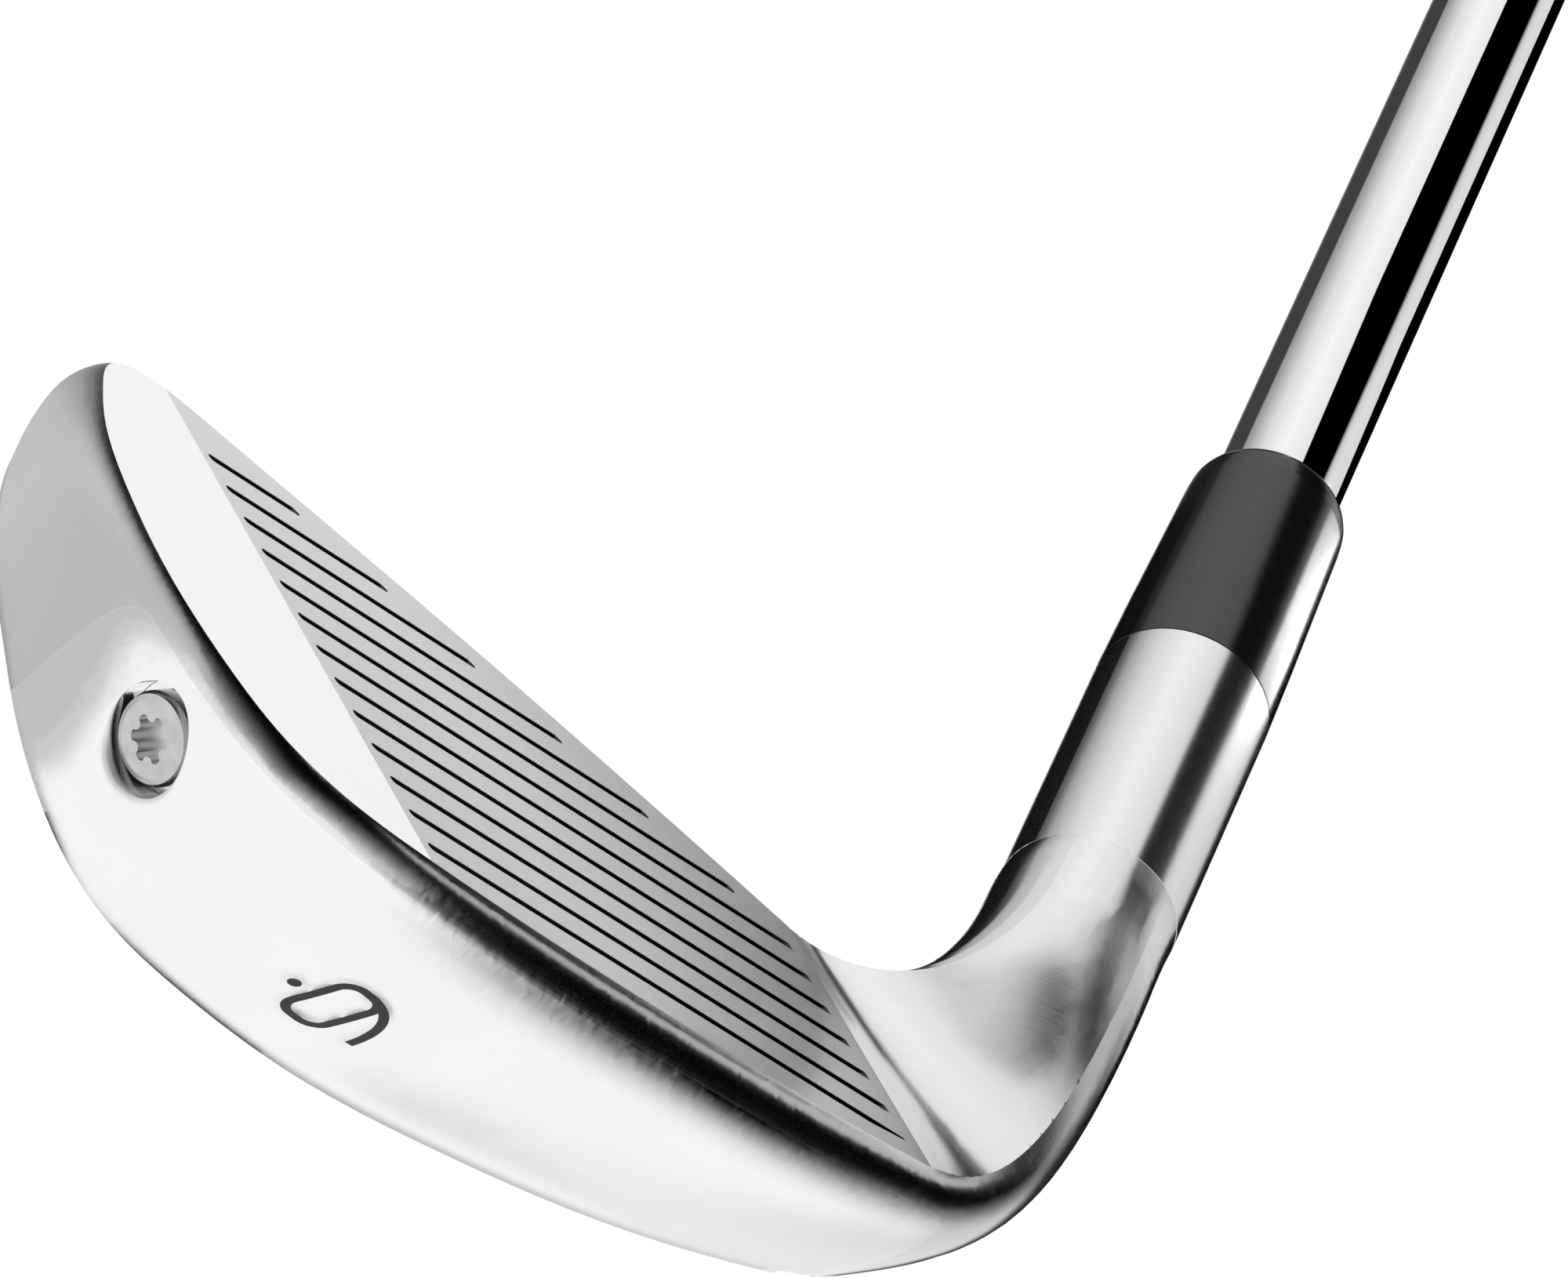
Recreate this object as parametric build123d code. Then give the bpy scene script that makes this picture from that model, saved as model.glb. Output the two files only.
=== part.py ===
from build123d import *
import math
import os

# Right-handed 6-iron. X runs from heel to toe, Y toward the target and Z up.
# The origin is the point of the sole that rests on the ground under the face centre.

# Club geometry
LOFT = 27.6                 # face leans back from vertical
LIE = 62.2                  # shaft axis above the ground
FACE_Y = 10.3               # where the face plane meets the ground plane
AXIS_X = -29.1              # where the shaft axis meets the ground plane
AXIS_Y = 4.75
CLUB_LENGTH = 952.5         # along the shaft axis, ground to grip cap
HEEL_X = -27.2              # the face ends here and the neck begins

# Hosel, ferrule and shaft; distances run up the shaft axis from the ground
HOSEL_R = 6.67
HOSEL_FOOT = 42.0
HOSEL_TOP = 67.8
BORE_R = 4.83
BORE_DEPTH = 31.75
FERRULE_LENGTH = 25.2
FERRULE_TOP_R = 6.08
FERRULE_SHOULDER = 1.6
TIP_R = 4.51
TIP_TAPER_TOP_R = 4.745
TIP_TAPER_END = 93.0
SHAFT_WALL = 0.48
FIRST_STEP = 290.0
STEP_PITCH = 38.1
STEP_COUNT = 12
STEP_LENGTH = 2.0
BUTT_R = 7.62
TIP_WEIGHT_LENGTH = 24.0

# Grip
GRIP_LENGTH = 268.0
GRIP_CAP_R = 13.6
GRIP_MOUTH_R = 9.2
GRIP_CAP_THICKNESS = 5.0
VENT_R = 1.6
TAPE = 0.15

# Face plate, grooves and body walls
PLATE_THICKNESS = 2.0
PLATE_INSET = 1.7
GROOVE_COUNT = 13
GROOVE_PITCH = 3.556
GROOVE_WIDTH = 0.85
GROOVE_DEPTH = 0.45
GROOVE_FIRST_S = 8.95
GROOVE_END_X = 25.9
GROOVE_TOP_MARGIN = 2.6
BACK_WALL = 2.6

# Toe screw, an M5 button screw with a six-lobe drive
SCREW_AT = (42.9, 17.1, 7.3)
SCREW_OUT = (0.884, -0.157, -0.440)
SCREW_HEAD_R = 3.2
SCREW_HEAD_HEIGHT = 1.7
SCREW_SHANK_R = 2.45
SCREW_SHANK_LENGTH = 5.2
SCREW_PITCH = 0.8
SCREW_DRIVE_R = 1.7
SCREW_RECESS = 0.7
PORT_R = 3.85
TAPPED_R = 2.5
SEAL_THICKNESS = 0.5
SEAL_R = 3.1
RUNNING_GAP = 0.02

# Number on the sole and badge on the back
NUMBER_AT = (21.4, -4.6)
NUMBER_HEIGHT = 6.9
NUMBER_WIDTH = 7.2
NUMBER_BOWL = 4.2
NUMBER_STROKE = 0.72
NUMBER_DEPTH = 0.4
DOT_R = 0.5
DOT_AT = (0.39, -4.7)
BADGE_THICKNESS = 0.8
PAD_THICKNESS = 0.3

# Perimeter ribs, anticlockwise from the bottom of the heel round the toe to the top of the heel.
# x, s: front edge on the face plane.  x, s, w: rear edge.  Two edge angles and two handle lengths.
RIBS = [
    (-27.2, 7.4, -27.2, 10.3, 13.4, 66, 34, 0.36, 0.40),
    (-14.0, 6.1, -13.0, 11.1, 17.2, 66, 34, 0.37, 0.41),
    (2.0, 5.5, 3.0, 12.3, 19.6, 66, 34, 0.37, 0.41),
    (16.0, 5.8, 17.0, 12.8, 20.5, 66, 34, 0.37, 0.41),
    (28.0, 6.8, 29.0, 14.3, 20.4, 64, 32, 0.36, 0.40),
    (34.5, 8.3, 35.8, 15.9, 19.2, 60, 28, 0.34, 0.40),
    (38.7, 11.3, 39.2, 18.9, 17.6, 56, 24, 0.32, 0.40),
    (41.6, 17.8, 40.7, 23.4, 16.3, 50, 18, 0.30, 0.40),
    (42.8, 27.0, 40.9, 30.0, 14.7, 46, 14, 0.28, 0.40),
    (42.2, 35.0, 39.9, 37.3, 13.1, 46, 14, 0.30, 0.40),
    (39.9, 45.0, 38.2, 46.2, 12.0, 48, 16, 0.33, 0.40),
    (36.6, 52.2, 35.7, 52.9, 10.8, 48, 18, 0.35, 0.40),
    (33.0, 57.2, 33.1, 57.3, 8.8, 46, 20, 0.34, 0.40),
    (29.5, 58.7, 29.3, 57.8, 6.5, 34, 18, 0.30, 0.40),
    (22.0, 56.9, 22.0, 56.1, 6.5, 30, 16, 0.30, 0.40),
    (2.3, 48.6, 2.3, 47.9, 6.6, 30, 14, 0.30, 0.40),
    (-13.3, 41.1, -13.3, 40.4, 6.7, 30, 14, 0.30, 0.40),
    (-27.2, 33.6, -27.2, 33.1, 7.0, 30, 14, 0.30, 0.40),
]
RIB_STEPS = (0.0, 0.12, 0.28, 0.46, 0.64, 0.82, 1.0)
SKIRT_FAR = (25.5, 0.06, -0.27)   # plane w = a + b x + c s that ends the skirt behind the back surface

# Back surface: at each x, the points (s, w) from below the sole to above the topline
BACK_STATIONS = [
    (-30.0, (-6, 18.0), (10.2, 13.2), (18, 11.0), (20, 10.4), (44, 3.7)),
    (-14.0, (-6, 21.6), (11.0, 17.1), (19, 14.6), (22, 8.2), (50, 6.2)),
    (3.0, (-6, 23.2), (12.2, 19.6), (26, 16.0), (29, 8.2), (56, 6.4)),
    (20.0, (-6, 23.6), (13.0, 20.1), (38, 14.2), (41, 8.6), (62, 6.4)),
    (36.0, (-6, 22.0), (16.0, 18.5), (47, 12.2), (52, 11.1), (66, 6.8)),
    (47.0, (-6, 20.4), (16.0, 17.0), (47, 11.6), (52, 10.7), (66, 6.2)),
]

# Hollow behind the face: outline where it opens behind the plate and at its deepest
HOLLOW_FRONT = [(-21, 12.2), (0, 9.9), (20, 10.2), (30, 11.8), (36, 16), (38.3, 26), (36.2, 40), (31.5, 50.5)]
HOLLOW_REAR = [(-19, 16.0), (0, 15.2), (18, 15.8), (27, 17), (32.5, 20.5), (34.5, 28), (33, 38), (29, 46)]
HOLLOW_DEEPEST = 17.0
WEIGHT_X = (7.0, 29.0)
WEIGHT_TOP_S = 18.5

ANGLES = (-10, -150, -215, -300, -370)   # where the four corners of the heel section land on the hosel

UP = Vector(0, -math.sin(math.radians(LOFT)), math.cos(math.radians(LOFT)))
NORMAL = Vector(0, math.cos(math.radians(LOFT)), math.sin(math.radians(LOFT)))
FACE = Plane(origin=(0, FACE_Y, 0), x_dir=(1, 0, 0), z_dir=NORMAL * -1)
SHAFT_DIR = Vector(-math.cos(math.radians(LIE)), 0, math.sin(math.radians(LIE)))
TOEWARD = Vector(math.sin(math.radians(LIE)), 0, math.cos(math.radians(LIE)))
SHAFT = Plane(origin=(AXIS_X, AXIS_Y, 0), x_dir=TOEWARD, z_dir=SHAFT_DIR)
SCREW = Plane(origin=FACE.from_local_coords(SCREW_AT), z_dir=SCREW_OUT)


def on_face(x, s, w=0.0):
    """Point at x, s up the face and w behind it."""
    return FACE.from_local_coords(Vector(x, s, w))


def bezier(p, v):
    """Point at v on the cubic curve through four control points."""
    u = 1 - v
    return p[0] * u**3 + p[1] * (3 * v * u**2) + p[2] * (3 * v**2 * u) + p[3] * v**3


def rib_outward(i):
    """Direction away from the face outline at a rib, in face coordinates."""
    if i == 0:
        return Vector(0, -1, 0)
    if i == len(RIBS) - 1:
        return Vector(0, 1, 0)
    before = RIBS[i - 1]
    after = RIBS[i + 1]
    return Vector(after[1] - before[1], before[0] - after[0], 0).normalized()


def rib_controls(i):
    """Control points of one perimeter rib."""
    x, s, xq, sq, wq, a, b, h0, h1 = RIBS[i]
    outward = rib_outward(i)
    out = Vector(outward.X, 0, 0) + UP * outward.Y
    front = on_face(x, s)
    rear = on_face(xq, sq, wq)
    reach = (rear - front).length
    a = math.radians(a)
    b = math.radians(b)
    second = front + (NORMAL * -math.cos(a) + out * math.sin(a)) * (h0 * reach)
    third = rear + (NORMAL * math.cos(b) + out * math.sin(b)) * (h1 * reach)
    return front, second, third, rear


def closed_by_line(points):
    """Wire through the points, closed along the heel plane."""
    curve = Spline(*points)
    return Wire([curve, Line(points[-1], points[0])])


def skirt_section(v):
    return closed_by_line([bezier(rib_controls(i), v) for i in range(len(RIBS))])


def skirt_far_section():
    """The ribs carried straight on to a plane behind the back surface."""
    depth, per_x, per_s = SKIRT_FAR
    across = Vector(-per_x, 0, 0) - UP * per_s - NORMAL
    points = []
    for i in range(len(RIBS)):
        front, second, third, rear = rib_controls(i)
        onward = (rear - third).normalized()
        reach = (on_face(0, 0, depth) - rear).dot(across) / onward.dot(across)
        points.append(rear + onward * reach)
    return closed_by_line(points)


def back_envelope():
    """Everything in front of the back surface."""
    sections = []
    for x, *points in BACK_STATIONS:
        top = points[-1][0]
        corners = points + [(top, -6), (-6, -6)]
        sections.append(Wire.make_polygon([on_face(x, s, w) for s, w in corners], close=True))
    return Solid.make_loft(sections)


def blade(envelope):
    sections = [skirt_section(v) for v in RIB_STEPS] + [skirt_far_section()]
    return Solid.make_loft(sections) & envelope


def heel_corners():
    """Heel section as four runs of points: sole, back, top and face."""
    sole = [bezier(rib_controls(0), k / 8) for k in range(9)]
    top = [bezier(rib_controls(len(RIBS) - 1), 1 - k / 8) for k in range(9)]
    back = [sole[-1] + (top[0] - sole[-1]) * (k / 8) for k in range(9)]
    face = [top[-1] + (sole[0] - top[-1]) * (k / 8) for k in range(9)]
    return sole, back, top, face


def heel_heading(part, k):
    """Direction in which the blade surface runs into the neck at a point of the heel section."""
    if part == 0:
        return (bezier(rib_controls(0), k / 8) - bezier(rib_controls(1), k / 8)).normalized()
    if part == 2:
        v = 1 - k / 8
        last = len(RIBS) - 1
        return (bezier(rib_controls(last), v) - bezier(rib_controls(last - 1), v)).normalized()
    lower = heel_heading(0, 8 if part == 1 else 0)
    upper = heel_heading(2, 0 if part == 1 else 8)
    share = k / 8 if part == 1 else 1 - k / 8
    return (lower * (1 - share) + upper * share).normalized()


def neck():
    """Heel section blending into the round hosel."""
    runs = heel_corners()
    centre = sum((p for run in runs for p in run), Vector(0, 0, 0)) * (1 / 36)
    rings = []
    for v in (0.0, 0.14, 0.28, 0.42, 0.56, 0.7, 0.85, 1.0):
        edges = []
        for part, run in enumerate(runs):
            points = []
            for k, start in enumerate(run):
                angle = math.radians(ANGLES[part] + (ANGLES[part + 1] - ANGLES[part]) * k / 8)
                high = (math.sin(angle) + 1) / 2
                leave = 15.0 - 8.0 * high
                arrive = 22.0 - 3.0 * high
                round_point = Vector(0, math.cos(angle), 0) + TOEWARD * math.sin(angle)
                end = SHAFT.origin + SHAFT_DIR * HOSEL_FOOT + round_point * (HOSEL_R - 0.02)
                inset = start + (centre - start).normalized() * 0.04
                heading = heel_heading(part, k)
                controls = (inset, inset + heading * leave, end - SHAFT_DIR * arrive, end)
                points.append(bezier(controls, v))
            edges.append(Spline(*points))
        rings.append(Wire(edges))
    return Solid.make_loft(rings)


def turned(points, plane=SHAFT):
    """Solid of revolution about the plane's normal from (radius, height) points."""
    profile = make_face(Polyline(*[(r, 0, z) for r, z in points], close=True))
    return plane * revolve(profile, Axis.Z)


def hosel():
    joint = HOSEL_FOOT - 0.02
    return turned([(0, joint), (HOSEL_R, joint), (HOSEL_R, HOSEL_TOP - 0.15), (HOSEL_R - 0.15, HOSEL_TOP),
                   (0, HOSEL_TOP)])


def prism(outline, start, length):
    """Outline drawn on the face, pushed back from depth start over a length."""
    return extrude(FACE * Pos(0, 0, start) * outline, amount=length)


def plate_outline():
    """Outline of the face inside its rim."""
    points = []
    for i in range(len(RIBS)):
        outward = rib_outward(i)
        x = max(RIBS[i][0] - outward.X * PLATE_INSET, HEEL_X + PLATE_INSET)
        points.append(Vector(x, RIBS[i][1] - outward.Y * PLATE_INSET))
    return make_face(closed_by_line(points))


def face_plate():
    plate = prism(plate_outline(), -0.4, PLATE_THICKNESS + 0.4)
    plate = plate & prism(Rectangle(200, 200), 0, PLATE_THICKNESS)
    return plate - grooves()


def topline_s(x):
    """Height of the topline on the face at x, straight between the heel and toe ends of the topline."""
    low = RIBS[-1]
    high = RIBS[-4]
    return low[1] + (high[1] - low[1]) * (x - low[0]) / (high[0] - low[0])


def grooves():
    """Milled score lines; the upper ones stop short of the topline."""
    cutters = []
    for row in range(GROOVE_COUNT):
        s = GROOVE_FIRST_S + row * GROOVE_PITCH
        slope = (topline_s(1) - topline_s(0))
        limit = (s + GROOVE_TOP_MARGIN - topline_s(0)) / slope
        start = max(-GROOVE_END_X, limit)
        length = GROOVE_END_X - start
        outline = Pos((start + GROOVE_END_X) / 2, s) * SlotOverall(length, GROOVE_WIDTH)
        cutters.append(extrude(FACE * outline, amount=GROOVE_DEPTH, taper=20))
    return cutters


def hollow(envelope):
    """Room behind the plate, closed by the back wall."""
    front = closed_by_line([on_face(x, s, PLATE_THICKNESS) for x, s in HOLLOW_FRONT])
    rear = closed_by_line([on_face(x, s, HOLLOW_DEEPEST) for x, s in HOLLOW_REAR])
    room = Solid.make_loft([front, rear], ruled=True)
    return room & Pos(*(NORMAL * BACK_WALL)) * envelope


def screw_solid():
    """Threaded shank, button head and six-lobe drive, origin under the head's top face."""
    top = -SCREW_RECESS
    under = top - SCREW_HEAD_HEIGHT
    tip = under - SCREW_SHANK_LENGTH
    points = [(0, top), (SCREW_HEAD_R - 0.6, top), (SCREW_HEAD_R - 0.2, top - 0.15)]
    points += [(SCREW_HEAD_R, top - 0.6), (SCREW_HEAD_R, under), (SCREW_SHANK_R, under)]
    height = under - 0.6
    while height - SCREW_PITCH > tip + 0.5:
        points += [(SCREW_SHANK_R, height), (SCREW_SHANK_R - 0.35, height - SCREW_PITCH * 0.4)]
        points += [(SCREW_SHANK_R, height - SCREW_PITCH * 0.8)]
        height -= SCREW_PITCH
    points += [(SCREW_SHANK_R, tip + 0.4), (SCREW_SHANK_R - 0.4, tip), (0, tip)]
    body = turned(points, SCREW)
    star = Circle(SCREW_DRIVE_R * 0.74)
    for k in range(6):
        star += Rot(0, 0, 60 * k) * Pos(SCREW_DRIVE_R * 0.72, 0) * Circle(SCREW_DRIVE_R * 0.28)
    for k in range(6):
        star -= Rot(0, 0, 60 * k + 30) * Pos(SCREW_DRIVE_R * 0.92, 0) * Circle(SCREW_DRIVE_R * 0.24)
    return body - extrude(SCREW * Pos(0, 0, top + 0.1) * star, amount=-1.3)


def seal():
    top = -SCREW_RECESS - SCREW_HEAD_HEIGHT - RUNNING_GAP
    bottom = top - SEAL_THICKNESS + 2 * RUNNING_GAP
    inner = SCREW_SHANK_R + 0.05
    return turned([(inner, top), (SEAL_R, top), (SEAL_R, bottom), (inner, bottom)], SCREW)


def screw_port():
    """Counterbore for the head and the tapped hole into the hollow."""
    seat = -SCREW_RECESS - SCREW_HEAD_HEIGHT - SEAL_THICKNESS
    return turned([(0, 6), (PORT_R, 6), (PORT_R, seat), (TAPPED_R, seat), (TAPPED_R, seat - 8.5),
                   (0, seat - 8.5)], SCREW)


def number_outline():
    """A plain 6, drawn upright."""
    half = NUMBER_STROKE / 2
    right = NUMBER_WIDTH / 2 - half
    top = NUMBER_HEIGHT / 2 - half
    middle = (NUMBER_BOWL - NUMBER_HEIGHT) / 2
    outer = RectangleRounded(NUMBER_WIDTH, NUMBER_BOWL, 1.7)
    inner = RectangleRounded(NUMBER_WIDTH - 2 * NUMBER_STROKE, NUMBER_BOWL - 2 * NUMBER_STROKE, 1.0)
    bend = (-right * 0.72, middle + 2.6)
    stem = Spline((-right, middle - 0.2), bend, (right * 0.7, top), tangents=[(0, 1), (1, 0.1)])
    return Pos(0, middle) * (outer - inner) + trace(stem, NUMBER_STROKE)


def sole_paint(body, outline):
    """Paint that fills an engraving flush with the sole."""
    placed = Plane(origin=(*NUMBER_AT, -2), x_dir=(0, -1, 0), z_dir=(0, 0, -1)) * outline
    column = extrude(placed, amount=-9)
    return (column & body) - Pos(0, 0, NUMBER_DEPTH) * body


def badge_outline(grow):
    corners = Polyline((-9, 27.6), (-9, 35.4), (20, 48.6), (20, 45.2), (9.5, 34.8), close=True)
    return offset(fillet(make_face(corners).vertices(), 1.2), amount=grow)


def back_layer(envelope, start, end, grow):
    """Slab of the badge's outline between two depths below the back surface."""
    column = prism(badge_outline(grow), 4, 12)
    return column & Pos(*(NORMAL * start)) * envelope - Pos(*(NORMAL * end)) * envelope


def shaft_profile():
    """Outer radius and height of the stepped shaft, tip to butt."""
    bottom = HOSEL_TOP - BORE_DEPTH + 0.2
    points = [(TIP_R, bottom), (TIP_TAPER_TOP_R, TIP_TAPER_END)]
    rise = (BUTT_R - TIP_TAPER_TOP_R) / STEP_COUNT
    radius = TIP_TAPER_TOP_R
    for step in range(STEP_COUNT):
        height = FIRST_STEP + step * STEP_PITCH
        points.append((radius, height))
        radius += rise
        points.append((radius, height + STEP_LENGTH))
    points.append((BUTT_R, CLUB_LENGTH - GRIP_CAP_THICKNESS - 0.1))
    return points


def shaft():
    outer = shaft_profile()
    inner = [(radius - SHAFT_WALL, height) for radius, height in reversed(outer)]
    return turned(outer + inner)


def tip_weight():
    """Swing-weight plug pressed into the tip: a headed pin."""
    bottom = HOSEL_TOP - BORE_DEPTH
    r = TIP_R - SHAFT_WALL
    return turned([(0, bottom), (TIP_R - 0.1, bottom), (TIP_R - 0.1, bottom + 0.2), (r, bottom + 0.2),
                   (r, bottom + TIP_WEIGHT_LENGTH), (0, bottom + TIP_WEIGHT_LENGTH)])


def bore():
    bottom = HOSEL_TOP - BORE_DEPTH
    return turned([(0, bottom), (BORE_R, bottom), (BORE_R, HOSEL_TOP - 0.6), (BORE_R + 0.5, HOSEL_TOP),
                   (BORE_R + 0.5, HOSEL_TOP + 1), (0, HOSEL_TOP + 1)])


def epoxy():
    """Glue line between the hosel bore and the shaft tip, tapering with the tip."""
    bottom = HOSEL_TOP - BORE_DEPTH
    slope = (TIP_TAPER_TOP_R - TIP_R) / (TIP_TAPER_END - bottom - 0.2)
    top_r = TIP_R + slope * (HOSEL_TOP - bottom - 0.2)
    return turned([(TIP_R, bottom + 0.2), (BORE_R, bottom + 0.2), (BORE_R, HOSEL_TOP - 0.6),
                   (BORE_R + 0.5, HOSEL_TOP), (top_r, HOSEL_TOP)])


def ferrule():
    top = HOSEL_TOP + FERRULE_LENGTH
    slope = (TIP_TAPER_TOP_R - TIP_R) / (TIP_TAPER_END - HOSEL_TOP + BORE_DEPTH - 0.2)
    low_r = TIP_R + slope * (BORE_DEPTH - 0.2)
    r = FERRULE_TOP_R
    points = [(low_r, HOSEL_TOP), (HOSEL_R, HOSEL_TOP)]
    points += [(HOSEL_R + (r - HOSEL_R) * 0.25, HOSEL_TOP + 8), (r + 0.06, top - FERRULE_SHOULDER - 1)]
    for k in range(7):
        angle = math.radians(15 * k)
        drop = FERRULE_SHOULDER * (1 - math.sin(angle))
        points.append((r - 0.8 * FERRULE_SHOULDER * (1 - math.cos(angle)), top - drop))
    return turned(points + [(TIP_TAPER_TOP_R, top)])


def grip_profile():
    """Outer radius of the grip from its mouth up to the cap."""
    mouth = CLUB_LENGTH - GRIP_LENGTH
    top = CLUB_LENGTH - GRIP_CAP_THICKNESS
    span = top - mouth
    points = [(GRIP_MOUTH_R - 0.5, mouth), (GRIP_MOUTH_R, mouth + 0.8)]
    for k in range(1, 9):
        share = k / 8
        radius = GRIP_MOUTH_R + (GRIP_CAP_R - 0.6 - GRIP_MOUTH_R) * share**1.25
        points.append((radius, mouth + 0.8 + span * share * 0.96))
    points.append((GRIP_CAP_R, top))
    return points


def grip_bore_r(height):
    """Radius of the taped shaft under the grip."""
    steps = [r for r, z in shaft_profile() if z <= height]
    return steps[-1] + TAPE


def grip():
    mouth = CLUB_LENGTH - GRIP_LENGTH
    top = CLUB_LENGTH - GRIP_CAP_THICKNESS
    inner = [(r + TAPE, z) for r, z in shaft_profile() if mouth < z < top]
    bored = [(grip_bore_r(mouth), mouth)] + inner + [(BUTT_R + TAPE, top)]
    return turned(grip_profile() + bored[::-1])


def grip_tape():
    mouth = CLUB_LENGTH - GRIP_LENGTH
    top = CLUB_LENGTH - GRIP_CAP_THICKNESS
    steps = [(r, z) for r, z in shaft_profile() if mouth < z < top - 1]
    low = (grip_bore_r(mouth) - TAPE, mouth)
    high = (BUTT_R, top - 0.1)
    inner = [low] + steps + [high]
    outer = [(r + TAPE, z) for r, z in inner]
    return turned(inner + outer[::-1])


def grip_cap():
    """Moulded end cap with the vent hole that lets air out while the grip is fitted."""
    low = CLUB_LENGTH - GRIP_CAP_THICKNESS
    r = GRIP_CAP_R
    return turned([(VENT_R, low), (r, low), (r + 0.1, low + 1.2), (r - 0.2, low + 2.8), (r - 1.2, low + 4.2),
                   (r - 3.2, CLUB_LENGTH), (VENT_R, CLUB_LENGTH)])


def head_parts():
    """The club head and everything fixed inside or on it."""
    envelope = back_envelope()
    plain = blade(envelope)
    body = plain + neck() + hosel()
    plate_room = prism(plate_outline(), -1, PLATE_THICKNESS + 1)
    room = hollow(envelope)
    port = screw_port()
    number = sole_paint(plain, number_outline())
    dot = sole_paint(plain, Pos(*DOT_AT) * Circle(DOT_R))
    badge = back_layer(envelope, 0, BADGE_THICKNESS, -0.06) & body
    pad = back_layer(envelope, BADGE_THICKNESS, BADGE_THICKNESS + PAD_THICKNESS, -0.06) & body
    recess = back_layer(envelope, -2, BADGE_THICKNESS + PAD_THICKNESS, 0)
    weight_side = Rectangle(WEIGHT_X[1] - WEIGHT_X[0], 2 * WEIGHT_TOP_S)
    weight_box = prism(Pos((WEIGHT_X[0] + WEIGHT_X[1]) / 2, 0) * weight_side, PLATE_THICKNESS + 1.2, 20)
    weight = room & weight_box
    foam = room - weight_box - port
    metal = body - plate_room - room - port - bore() - number - dot - recess
    return {
        "head_body": metal,
        "face_plate": face_plate(),
        "foam_core": foam,
        "tungsten_weight": weight,
        "number_paint": number,
        "dot_paint": dot,
        "back_badge": badge,
        "badge_pad": pad,
    }


def club():
    parts = head_parts()
    parts["toe_screw"] = screw_solid()
    parts["toe_screw_seal"] = seal()
    parts["hosel_epoxy"] = epoxy()
    parts["ferrule"] = ferrule()
    parts["shaft"] = shaft()
    parts["tip_weight"] = tip_weight()
    parts["grip_tape"] = grip_tape()
    parts["grip"] = grip()
    parts["grip_cap"] = grip_cap()
    return parts


os.makedirs("parts", exist_ok=True)
for name, solid in club().items():
    export_step(solid, "parts/" + name + ".step")
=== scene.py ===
import math

import bpy
import numpy as np
from mathutils import Matrix
from mathutils.bvhtree import BVHTree


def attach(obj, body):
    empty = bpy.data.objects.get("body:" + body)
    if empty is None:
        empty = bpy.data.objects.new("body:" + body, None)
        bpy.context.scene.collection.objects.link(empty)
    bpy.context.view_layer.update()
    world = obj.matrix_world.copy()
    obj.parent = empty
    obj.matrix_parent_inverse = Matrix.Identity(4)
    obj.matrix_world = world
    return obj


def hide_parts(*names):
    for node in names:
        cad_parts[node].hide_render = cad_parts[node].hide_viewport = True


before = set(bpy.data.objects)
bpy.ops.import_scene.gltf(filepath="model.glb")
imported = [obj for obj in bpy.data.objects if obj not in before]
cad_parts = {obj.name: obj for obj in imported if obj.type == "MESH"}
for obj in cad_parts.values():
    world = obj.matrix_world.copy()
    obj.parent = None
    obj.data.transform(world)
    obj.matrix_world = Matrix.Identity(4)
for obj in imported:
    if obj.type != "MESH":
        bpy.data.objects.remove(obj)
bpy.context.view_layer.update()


def unit(v):
    return v / np.linalg.norm(v)


# ---------------------------------------------------------------- club geometry, in millimetres
# These are the CAD model's own numbers. x runs to the toe, s up the face and w back from it;
# t is the distance along the shaft axis from the ground.
MM_PER_M = 1000.0
LOFT = math.radians(27.6)
LIE = math.radians(62.2)
FACE_Y = 10.3
AXIS = np.array([-29.1, 4.75, 0.0])
HOSEL_R = 6.67
HOSEL_FOOT = 42.0
X = np.array([1.0, 0.0, 0.0])
Y = np.array([0.0, 1.0, 0.0])
UP = np.array([0.0, -math.sin(LOFT), math.cos(LOFT)])
NORMAL = np.array([0.0, math.cos(LOFT), math.sin(LOFT)])
SHAFT = np.array([-math.cos(LIE), 0.0, math.sin(LIE)])
TOEWARD = np.array([math.sin(LIE), 0.0, math.cos(LIE)])
FACE0 = np.array([0.0, FACE_Y, 0.0])
ANGLES = np.radians([-10, -150, -215, -300, -370])  # where the blade's four corners reach the hosel
SCREW_AT = FACE0 + 42.9 * X + 17.1 * UP - 7.3 * NORMAL
SCREW_OUT = unit(np.array([0.884, -0.157, -0.440]))

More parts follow.
